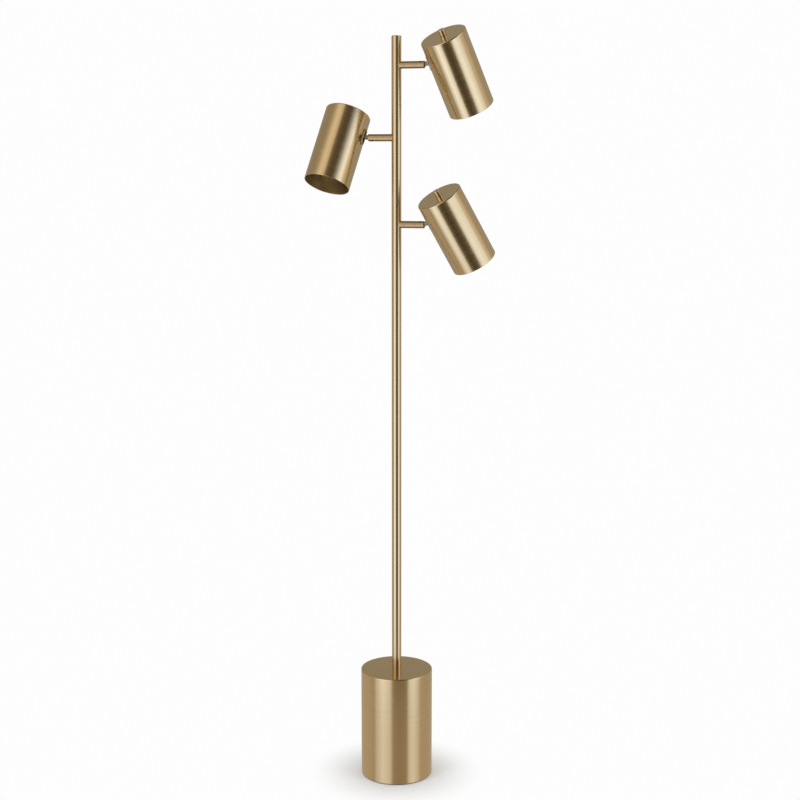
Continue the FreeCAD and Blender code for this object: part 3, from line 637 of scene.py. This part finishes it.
class LAMP_OT_dress_base(bpy.types.Operator):
    """Turns the drum, its floor pad and the mains inlet"""

    bl_idname = "lamp.dress_base"
    bl_label = "Dress the base"

    def execute(self, context):
        size = sizes("lamp_base_sizes")
        inlet_neck = size.gland_flange * 0.75
        self.drum(size, inlet_neck)
        self.pad(size)
        self.inlet(size, inlet_neck)
        return {"FINISHED"}

    def drum(self, size, inlet_hole):
        """A thin cup with a hem at its foot, holed for the tie rod and the inlet."""
        radius, wall, edge = size.drum_diameter / 2, size.drum_wall, size.drum_round
        low, high, hem = size.pad_thick, size.drum_top, wall * 0.3
        edges = (edge, edge - hem)
        drum = cup("base_drum", radius, wall, low, high, size.rod_hole, hem, edges)
        inside, outside = radius * 0.8, radius * 1.2
        back = along((0, 1, 0), UP * size.gland_height)
        cut(drum, rod(inlet_hole, inside, outside, back))
        dress(drum, "root", "brushed_brass", "base_shell")

    def pad(self, size):
        radius, edge = size.drum_diameter / 2 - size.pad_inset, 0.0004
        pad = peg("floor_pad", radius, 0, size.pad_thick, edge, steps=6, around=None)
        dress(pad, "root", "black_rubber", "base_pad")

    def inlet(self, size, neck):
        """A grommet whose two flanges hold the drum's wall between them."""
        flange, bore = size.gland_flange, size.gland_flange * 0.5
        thick, play = 0.0016, 0.00035
        inside = -size.drum_wall - play
        outline = [
            (bore, thick),
            (flange, thick),
            (flange, 0),
            (neck, 0),
            (neck, inside),
            (flange, inside),
            (flange, inside - thick),
            (bore, inside - thick),
        ]
        soft = {0: 0.0006, 1: 0.0007, 2: 0.0003, 5: 0.0003, 6: 0.0007, 7: 0.0006}
        back = along((0, 1, 0), Vector((0, size.drum_diameter / 2, size.gland_height)))
        inlet = turned("mains_inlet_grommet", rounded(outline, soft), back, around=64)
        dress(inlet, "root", "black_rubber", "cord_gland")


class LAMP_OT_dress_pole(bpy.types.Operator):
    """Turns the two lengths of pole and the cap"""

    bl_idname = "lamp.dress_pole"
    bl_label = "Dress the pole"

    def execute(self, context):
        size = sizes("lamp_base_sizes")
        radius, bore = size.pole_diameter / 2, size.pole_diameter / 2 - size.pole_wall
        cap_low = size.pole_top - size.cap_thick
        self.tube("pole_lower_tube", "lower_pole", radius, bore, size.drum_top, size.pole_joint)
        self.tube("pole_upper_tube", "upper_pole", radius, bore, size.pole_joint, cap_low)
        self.cap(size, radius, bore, cap_low)
        return {"FINISHED"}

    def tube(self, name, node, radius, bore, low, high):
        """One length of pole, with the lightest break on its end edges."""
        half, edge = (high - low) / 2, 0.00008
        outline = [(radius, -half), (radius, half), (bore, half), (bore, -half)]
        outline = rounded(outline, {0: edge, 1: edge}, steps=2)
        tube = turned(name, outline, Matrix.Translation(UP * (low + half)), around=96)
        dress(tube, "root", "brushed_brass", node)

    def cap(self, size, radius, bore, low):
        """A round-edged disc with a spigot that stands in the tube."""
        thick, spigot = size.cap_thick, 0.010
        outline = [
            (0, -spigot),
            (bore, -spigot),
            (bore, 0),
            (radius, 0),
            (radius, thick),
            (0, thick),
        ]
        outline = rounded(outline, {1: 0.0004, 3: 0.0001, 4: size.cap_round})
        place = Matrix.Translation(UP * low)
        cap = turned("pole_end_cap", outline, place, closed=False, around=96)
        dress(cap, "root", "brushed_brass", "pole_cap", "brass_ends")


class LAMP_OT_dress_arms(bpy.types.Operator):
    """Copes each arm to the pole and drills it for its grub screw"""

    bl_idname = "lamp.dress_arms"
    bl_label = "Dress the arms"

    def execute(self, context):
        size, base = sizes("lamp_arm_sizes"), sizes("lamp_base_sizes")
        for head in HEADS:
            self.arm(head, size, base.pole_diameter / 2)
        return {"FINISHED"}

    def arm(self, head, size, pole):
        radius, bore = size.arm_diameter / 2, size.arm_diameter / 2 - size.arm_wall
        root, edge, grub_hole = 0.004, 0.0001, 0.00215
        place = arm_place(head)
        reach = (place.inverted() @ pivot(head)).z
        end = reach - size.fork_length - size.fork_gap

        def cope(spot):
            """The root follows the pole's round side, which stands upright along the arm's X."""
            if spot.z > pole:
                return spot
            return Vector((spot.x, spot.y, math.sqrt(pole**2 - spot.y**2)))

        outline = [(radius, 0), (radius, pole + root), (radius, end), (bore, end), (bore, 0)]
        outline = rounded(outline, {2: edge, 3: edge}, steps=3)
        arm = turned(f"{head}_arm", outline, place, around=96, bend=cope)
        right_hand = axis_of(head, "swivel_turn").cross(UP)
        facing = along(right_hand, place @ Vector((0, 0, pole + size.grub_place)))
        inside, outside = bore * 0.9, radius * 1.2
        cut(arm, rod(grub_hole, inside, outside, facing))
        # The arm gets the darkened copy of the brass, which is painted shade.
        dress(arm, "root", "brushed_brass", f"{head}_arm_tube", "shaded_arm_brass")


class LAMP_OT_dress_knuckles(bpy.types.Operator):
    """Makes the slotted forks, tilt pins and saddles"""

    bl_idname = "lamp.dress_knuckles"
    bl_label = "Dress the knuckles"

    def execute(self, context):
        size = sizes("lamp_arm_sizes")
        for head in HEADS:
            self.fork(head, size)
            self.pin(head, size)
            self.saddle(head, size, sizes("lamp_head_sizes").shade_diameter / 2)
        return {"FINISHED"}

    def fork(self, head, size):
        """A stem that turns in the arm, a shoulder close to the arm's end, and a slotted nose."""
        radius, stem, stem_length = size.arm_diameter / 2, 0.004, 0.0144
        back, nose = -size.fork_length - size.fork_gap * 0.75, size.fork_nose
        outline = [
            (0, back - stem_length),
            (stem, back - stem_length),
            (stem, back),
            (radius, back),
            (radius, nose),
            (0, nose),
        ]
        outline = rounded(outline, {1: 0.0004, 3: 0.0001, 4: 0.0009}, steps=5)
        place = fork_place(head)
        fork = turned(f"{head}_swivel_fork", outline, place, closed=False, around=96)
        half, reach = size.slot_width / 2, size.arm_diameter
        cut(fork, block((-reach, -half, -size.slot_back), (reach, half, reach), place))
        cut(fork, rod(size.pin_diameter / 2, -reach, reach, pin_place(head)))
        self.soften(fork)
        dress(fork, f"{head}_swivel", "brushed_brass", f"{head}_fork", "shaded_arm_brass")

    def soften(self, piece):
        """A small bevel on the sawn edges."""
        bevel = piece.modifiers.new("Sawn edges", "BEVEL")
        bevel.width = 0.00015
        bevel.segments = 2
        bevel.limit_method = "ANGLE"
        bevel.angle_limit = math.radians(50.0)
        bevel.harden_normals = True

    def pin(self, head, size):
        """A plain cross pin, its ends just under the fork's surface."""
        sunk, edge = 0.0002, 0.0002
        half = size.arm_diameter / 2 - sunk
        pin = peg(f"{head}_tilt_pin", size.pin_diameter / 2, -half, half, edge, pin_place(head))
        dress(pin, f"{head}_swivel", "dark_steel", f"{head}_pivot_pin", "shaded_arm_brass")

    def saddle(self, head, size, shade):
        """A long round-ended washer, hollowed to the shade's curve and holed for the neck."""
        across, hole, edge = size.saddle_width / 2, 0.0037, 0.0007
        straight = size.saddle_length / 2 - across
        outside = size.neck_reach - size.saddle_thick
        axis = size.neck_reach + shade
        steps, inner_steps, edge_steps = 24, 8, 4
        outline = []
        for end in (1, -1):
            for k in range(steps + 1):
                turn = math.pi * k / steps
                reach = straight + across * math.sin(turn)
                outline.append((end * reach, end * across * math.cos(turn)))
        bm = bmesh.new()

        def ring(inset, depth=None):
            """The outline drawn in by an inset, at a depth, or else on the shade's wall."""
            verts = []
            for x, y in outline:
                core = max(-straight, min(straight, x))
                off = Vector((x - core, y)) * ((across - inset) / across)
                z = axis - math.sqrt(shade**2 - off.y**2) if depth is None else depth
                verts.append(bm.verts.new((core + off.x, off.y, z)))
            return verts

        rings = [ring(across - hole)]
        for k in range(5, inner_steps + 1):
            rings.append(ring(across * (1 - k / inner_steps)))
        rings.append(ring(0.0, outside + edge))
        for k in range(1, edge_steps + 1):
            turn = math.pi / 2 * k / edge_steps
            inset, sunk = edge * (1 - math.cos(turn)), edge * (1 - math.sin(turn))
            rings.append(ring(inset, outside + sunk))
        rings.append(ring(across - hole, outside))
        skin(bm, rings, closed=True)
        saddle = finish_mesh(f"{head}_saddle_plate", bm, neck_place(head))
        dress(saddle, f"{head}_head", "brushed_brass", f"{head}_saddle", "shaded_arm_brass")


class LAMP_OT_dress_shades(bpy.types.Operator):
    """Spins the three shades"""

    bl_idname = "lamp.dress_shades"
    bl_label = "Dress the shades"

    def execute(self, context):
        size = sizes("lamp_head_sizes")
        for head in HEADS:
            self.shade(head, size)
        return {"FINISHED"}

    def shade(self, head, size):
        """Origin at the middle of the shade, so that the brushing turns about its axis."""
        radius, wall, half = size.shade_diameter / 2, size.shade_wall, size.shade_length / 2
        hole, hem = 0.0036, wall * 0.42
        edges = (size.shade_round, size.shade_round - wall)
        place = cap_place(head) @ Matrix.Translation(UP * -half)
        name = f"{head}_spun_shade"
        shade = cup(name, radius, wall, -half, half, hole, hem, edges, place, steps=8)
        neck = cap_place(head) @ Vector((0, 0, -size.cap_to_neck))
        inside, outside = radius * 0.8, radius * 1.2
        cut(shade, rod(hole, inside, outside, along(-head_axes(head)[0], neck)))
        finishes = ("brushed_brass", "shade_lining")
        dress(shade, f"{head}_head", "brushed_brass", f"{head}_shade", *finishes)
        for polygon in shade.data.polygons:
            middle, normal = polygon.center, polygon.normal
            away = math.hypot(middle.x, middle.y)
            facing_in = normal.x * middle.x + normal.y * middle.y < 0
            under_cap = normal.z < -0.5 and middle.z > half - wall * 1.5
            inside = away < radius - wall * 0.6 and facing_in and middle.z < half - wall * 0.5
            polygon.material_index = 1 if inside or under_cap else 0


class LAMP_OT_dress_switches(bpy.types.Operator):
    """Turns the knobs of the rotary switches and their spindles"""

    bl_idname = "lamp.dress_switches"
    bl_label = "Dress the switches"

    def execute(self, context):
        size = sizes("lamp_head_sizes")
        for head in HEADS:
            self.switch(head, size)
        return {"FINISHED"}

    def switch(self, head, size):
        """A lipped knob with a recess over the ring nut, on a plain spindle."""
        gap, barrel, lip = 0.0004, size.knob_diameter / 2, size.knob_lip / 2
        recess, recess_top = 0.0054, 0.0029
        spindle, spindle_low = 0.002, -0.0092
        flare, crown, edge = 0.0004, 0.0002, 0.0002
        high = gap + size.knob_length
        lip_low = high - size.knob_lip_length
        bore_top = recess_top + size.spindle_seat
        outline = [
            (recess, gap),
            (barrel, gap),
            (barrel, lip_low),
            (lip, lip_low + flare),
            (lip, high - crown),
            (0, high),
            (0, bore_top),
            (spindle, bore_top),
            (spindle, recess_top),
            (recess, recess_top),
        ]
        outline = rounded(outline, {1: edge, 3: edge, 4: size.knob_round})
        place, body = cap_place(head), f"{head}_knob"
        knob = turned(f"{head}_rotary_knob", outline, place, around=96)
        dress(knob, body, "polished_brass", f"{head}_switch_knob", "turned_knob")
        stem = peg(f"{head}_spindle", spindle, spindle_low, bore_top, 0.0003, place)
        dress(stem, body, "plated_steel", f"{head}_switch_spindle")


class LAMP_OT_dress_bulbs(bpy.types.Operator):
    """Makes the bulbs and flutes the lampholders"""

    bl_idname = "lamp.dress_bulbs"
    bl_label = "Dress the bulbs"

    def execute(self, context):
        size = sizes("lamp_head_sizes")
        mouth = -size.shade_wall - size.holder_length
        contact = mouth + size.socket_depth
        for head in HEADS:
            self.glass(head, size, contact)
            self.screw_cap(head, size, contact)
            self.holder(head, size, mouth)
        return {"FINISHED"}

    def glass(self, head, size, contact):
        """A straight neck, a smooth shoulder and a ball."""
        ball, neck = size.bulb_diameter / 2, 0.012
        middle, top = contact - size.bulb_length + ball, contact - size.bulb_cap
        straight, bend, handle = top - 0.005, top - 0.006, 0.004
        shoulder = math.radians(42.0)
        start = Vector((neck, bend))
        end = Vector((ball * math.cos(shoulder), middle + ball * math.sin(shoulder)))
        lean = Vector((math.sin(shoulder), -math.cos(shoulder)))
        outline = [(0, top), (neck, top), (neck, straight)]
        outline += curve(start, start - Vector((0, handle)), end - lean * handle, end, steps=8)
        steps = 36
        for k in range(1, steps):
            turn = shoulder - (shoulder + math.pi / 2) * k / steps
            outline.append((ball * math.cos(turn), middle + ball * math.sin(turn)))
        outline.append((0, middle - ball))
        glass = turned(f"{head}_bulb", outline, cap_place(head), closed=False, around=96)
        dress(glass, f"{head}_head", "opal_glass", f"{head}_bulb_glass")

    def screw_cap(self, head, size, contact):
        """Contact, insulator and a round thread, as rings of a smooth wave."""
        button, button_low = 0.004, contact - 0.0015
        insulator, insulator_low = 0.010, contact - 0.004
        crest, groove, waves, steps = 0.0131, 0.0007, 5, 60
        high, low = contact - 0.0045, contact - size.bulb_cap
        outline = [
            (0, contact),
            (button, contact),
            (button, button_low),
            (insulator, insulator_low),
        ]
        for k in range(steps + 1):
            share = k / steps
            sunk = groove * (1 - math.cos(2 * math.pi * waves * share)) / 2
            outline.append((crest - sunk, high + (low - high) * share))
        outline.append((0, low))
        cap = turned(f"{head}_bulb_screw_cap", outline, cap_place(head), closed=False, around=72)
        dress(cap, f"{head}_head", "bulb_cap_metal", f"{head}_bulb_cap")

    def holder(self, head, size, mouth):
        """A switch housing with a bushing through the cap, above a fluted skirt."""
        top, skirt = -size.shade_wall, size.holder_diameter / 2
        bore, bore_low = 0.00205, top - 0.0082
        bushing, bushing_top = 0.0035, 0.0025
        housing, housing_low, skirt_top = 0.016, top - 0.016, top - 0.020
        socket, socket_top = 0.0134, mouth + size.socket_depth
        flutes, depth, run_out, play = 24, 0.0008, 0.0006, 0.0001
        flutes_top, flutes_low = top - 0.024, mouth + 0.004
        outline = [
            (bore, bushing_top),
            (bushing, bushing_top),
            (bushing, top),
            (housing, top),
            (housing, housing_low),
            (skirt, skirt_top),
            (skirt, flutes_top + run_out),
            (skirt, flutes_top - run_out),
            (skirt, flutes_low + run_out),
            (skirt, flutes_low - run_out),
            (skirt, mouth),
            (socket, mouth),
            (socket, socket_top),
            (0, socket_top),
            (0, bore_low),
            (bore, bore_low),
        ]
        soft = {3: 0.0008, 4: 0.001, 5: 0.002, 10: 0.0012, 11: 0.0008}

        def flute(spot):
            """Shallow flutes on the skirt."""
            away = math.hypot(spot.x, spot.y)
            if away < skirt - play or not flutes_low < spot.z < flutes_top:
                return spot
            wave = 0.5 - 0.5 * math.cos(flutes * math.atan2(spot.y, spot.x))
            shrink = (away - depth * wave) / away
            return Vector((spot.x * shrink, spot.y * shrink, spot.z))

        outline = rounded(outline, soft, steps=4)
        holder = turned(f"{head}_socket", outline, cap_place(head), around=192, bend=flute)
        dress(holder, f"{head}_head", "black_moulding", f"{head}_lampholder")


class LAMP_OT_set_stage(bpy.types.Operator):
    """Sets the floor, the studio that the metal mirrors, the lights and the camera"""

    bl_idname = "lamp.set_stage"
    bl_label = "Set the stage"

    # Compass degrees from the camera, negative to its left, then the colour and its strength
    # that the metal mirrors there, low down and high up.
    LOW, HIGH = 1, 2
    BANDS = (
        (-180, ("room", 0.68), ("wall", 1.00)),
        (-102, ("room", 1.02), ("room", 0.75)),
        (-80, ("room", 0.82), ("room", 1.00)),
        (-64, ("bank", 0.76), ("room", 1.65)),
        (-46, ("bank", 1.12), ("room", 2.00)),
        (-24, ("bank", 0.88), ("room", 1.65)),
        (-9, ("dark", 1.40), ("dark", 2.20)),
        (8, ("dark", 0.75), ("dark", 1.10)),
        (31, ("dark", 1.20), ("dark", 0.95)),
        (44, ("bank", 0.92), ("bank", 0.22)),
        (57, ("bank", 1.05), ("bank", 0.68)),
        (70, ("bank", 0.78), ("bank", 1.05)),
        (86, ("room", 1.00), ("room", 1.80)),
        (110, ("room", 0.88), ("room", 0.95)),
        (180, ("room", 0.68), ("wall", 1.00)),
    )

    def execute(self, context):
        studio = sizes("lamp_studio")
        self.camera(studio)
        self.floor(studio)
        self.surroundings(studio)
        self.lights(studio)
        context.scene.view_settings.view_transform = "Standard"
        return {"FINISHED"}

    def stand(self, name, data, spot, facing):
        """An object of the stage that stands at a spot and faces a direction."""
        thing = bpy.data.objects.new(name, data)
        bpy.context.scene.collection.objects.link(thing)
        thing.location = spot
        thing.rotation_mode = "QUATERNION"
        thing.rotation_quaternion = facing.to_track_quat("-Z", "Y")
        return thing

    def camera(self, studio):
        turn = studio.azimuth
        lens = bpy.data.cameras.new("Camera")
        lens.lens = studio.lens
        lens.sensor_width = 36.0
        lens.clip_start, lens.clip_end = 0.05, 60.0
        across = Vector((math.cos(turn), math.sin(turn), 0))
        away = Vector((-math.sin(turn), math.cos(turn), 0))
        spot = across * studio.sideways - away * studio.distance + UP * studio.height
        facing = away * math.cos(studio.pitch) - UP * math.sin(studio.pitch)
        bpy.context.scene.camera = self.stand("Camera", lens, spot, facing)

    def floor(self, studio):
        """A pale round floor that fades into the backdrop; low metal mirrors a part of it."""
        radius, under_pad = 4.0, 0.0002
        fade_start, fade_end = 0.075, 0.19
        glow_near, glow_far, glow_share = 0.35, 1.3, 0.55
        bm = bmesh.new()
        bmesh.ops.create_circle(bm, cap_ends=True, radius=radius, segments=128)
        floor = finish_mesh("studio_floor", bm, Matrix.Translation(UP * -under_pad))
        material = bpy.data.materials.new("studio_floor")
        material.use_nodes = True
        bench = NodeBench(material.node_tree)
        bench.tree.nodes.clear()
        spot = bench.add("TexCoord").outputs["Object"]
        away = bench.add("VectorMath", {0: spot}, operation="LENGTH").outputs["Value"]
        paper = bench.plain("BsdfDiffuse", studio.paper)
        white = bench.plain("Emission", studio.white)
        seen = bench.either(bench.step(away, fade_start, fade_end), paper, white)
        clear = bench.add("BsdfTransparent").outputs["BSDF"]
        glow = bench.plain("Emission", studio.glow)
        glowing = bench.step(away, glow_near, glow_far, glow_share, 0.0)
        mirrored = bench.either(glowing, clear, glow)
        by_metal = bench.add("LightPath").outputs["Is Glossy Ray"]
        bench.add("OutputMaterial", {"Surface": bench.either(by_metal, seen, mirrored)})
        floor.data.materials.append(material)

    def surroundings(self, studio):
        """White to the eye; to the metal, a dim room with two tall banks of light."""
        world = bpy.data.worlds.new("Studio")
        bpy.context.scene.world = world
        world.use_nodes = True
        bench = NodeBench(world.node_tree)
        bench.tree.nodes.clear()
        outward = bench.add("TexCoord").outputs["Generated"]
        turn = {"Vector": outward, "Angle": -studio.azimuth}
        view = bench.add("VectorRotate", turn, rotation_type="Z_AXIS").outputs["Vector"]
        across, away, height = bench.add("SeparateXYZ", {"Vector": view}).outputs
        bearing = bench.math("ARCTAN2", across, bench.math("MULTIPLY", away, -1.0))
        compass = {"Value": bearing, "From Min": -math.pi, "From Max": math.pi}
        round_it = bench.add("MapRange", compass).outputs["Result"]
        low = self.bands(bench, round_it, studio, self.LOW)
        high = self.bands(bench, round_it, studio, self.HIGH)
        low_end, high_start = -0.26, 0.30
        room = bench.blend(bench.step(height, low_end, high_start), low, high)
        ceiling_start, ceiling_full = 0.78, 0.99
        steep = bench.step(bench.math("ABSOLUTE", height), ceiling_start, ceiling_full)
        seen_by_metal = bench.blend(steep, room, (*studio.ceiling, 1.0))
        mirrored = bench.add("Background", {"Color": seen_by_metal}).outputs["Background"]
        rays = bench.add("LightPath").outputs
        ambient = bench.plain("Background", studio.ambient)
        lit = bench.either(rays["Is Glossy Ray"], ambient, mirrored)
        white = bench.plain("Background", studio.white)
        shown = bench.either(rays["Is Camera Ray"], lit, white)
        bench.add("OutputWorld", {"Surface": shown})

    def bands(self, bench, round_it, studio, level):
        """The colours of one level of the bands, all the way round."""
        node = bench.add("ValToRGB", {"Fac": round_it})
        ramp = node.color_ramp
        ramp.interpolation = "EASE"
        while len(ramp.elements) < len(self.BANDS):
            ramp.elements.new(0.5)
        for element, row in zip(ramp.elements, self.BANDS):
            element.position = (row[0] + 180.0) / 360.0
        for element, row in zip(ramp.elements, self.BANDS):
            tone, strength = row[level]
            element.color = (*shaded(getattr(studio, tone), strength), 1.0)
        return node.outputs["Color"]

    def lights(self, studio):
        """Two soft panels for the floor, the bulbs and the dark pieces."""
        away, aim = 2.4, UP * 0.7
        for side, turn, height, power in (("left", -48.0, 1.9, 14.0), ("right", 55.0, 1.7, 10.0)):
            lamp = bpy.data.lights.new(f"panel_{side}", "AREA")
            lamp.shape = "RECTANGLE"
            lamp.size, lamp.size_y = 1.0, 2.0
            lamp.energy = power
            bearing = studio.azimuth + math.radians(turn)
            spot = Vector((math.sin(bearing), -math.cos(bearing), 0)) * away + UP * height
            panel = self.stand(f"panel_{side}", lamp, spot, aim - spot)
            panel.visible_glossy = False


class LAMP_PT_panel(bpy.types.Panel):
    """Lists the steps that dress the lamp"""

    bl_label = "Floor Lamp"
    bl_idname = "LAMP_PT_panel"
    bl_space_type = "VIEW_3D"
    bl_region_type = "UI"
    bl_category = "Floor Lamp"

    def draw(self, context):
        column = self.layout.column()
        for operator in OPERATORS:
            column.operator(operator.bl_idname)
        for name, group in GROUPS.items():
            column.label(text=group.__doc__)
            settings = getattr(context.scene, name)
            for field in group.__annotations__:
                column.prop(settings, field)


GROUPS = {
    "lamp_base_sizes": BaseAndPoleSizes,
    "lamp_arm_sizes": ArmSizes,
    "lamp_head_sizes": HeadSizes,
    "lamp_colours": LampColours,
    "lamp_studio": StudioSettings,
}
OPERATORS = (
    LAMP_OT_dress_hardware,
    LAMP_OT_dress_base,
    LAMP_OT_dress_pole,
    LAMP_OT_dress_arms,
    LAMP_OT_dress_knuckles,
    LAMP_OT_dress_shades,
    LAMP_OT_dress_switches,
    LAMP_OT_dress_bulbs,
    LAMP_OT_set_stage,
)


def register():
    for group in GROUPS.values():
        bpy.utils.register_class(group)
    for operator in OPERATORS:
        bpy.utils.register_class(operator)
    bpy.utils.register_class(LAMP_PT_panel)
    for name, group in GROUPS.items():
        setattr(bpy.types.Scene, name, PointerProperty(type=group))


def unregister():
    for name in GROUPS:
        delattr(bpy.types.Scene, name)
    bpy.utils.unregister_class(LAMP_PT_panel)
    for thing in reversed((*GROUPS.values(), *OPERATORS)):
        bpy.utils.unregister_class(thing)


def main():
    register()
    bpy.ops.lamp.dress_hardware()
    bpy.ops.lamp.dress_base()
    bpy.ops.lamp.dress_pole()
    bpy.ops.lamp.dress_arms()
    bpy.ops.lamp.dress_knuckles()
    bpy.ops.lamp.dress_shades()
    bpy.ops.lamp.dress_switches()
    bpy.ops.lamp.dress_bulbs()
    bpy.ops.lamp.set_stage()


if __name__ == "__main__":
    main()
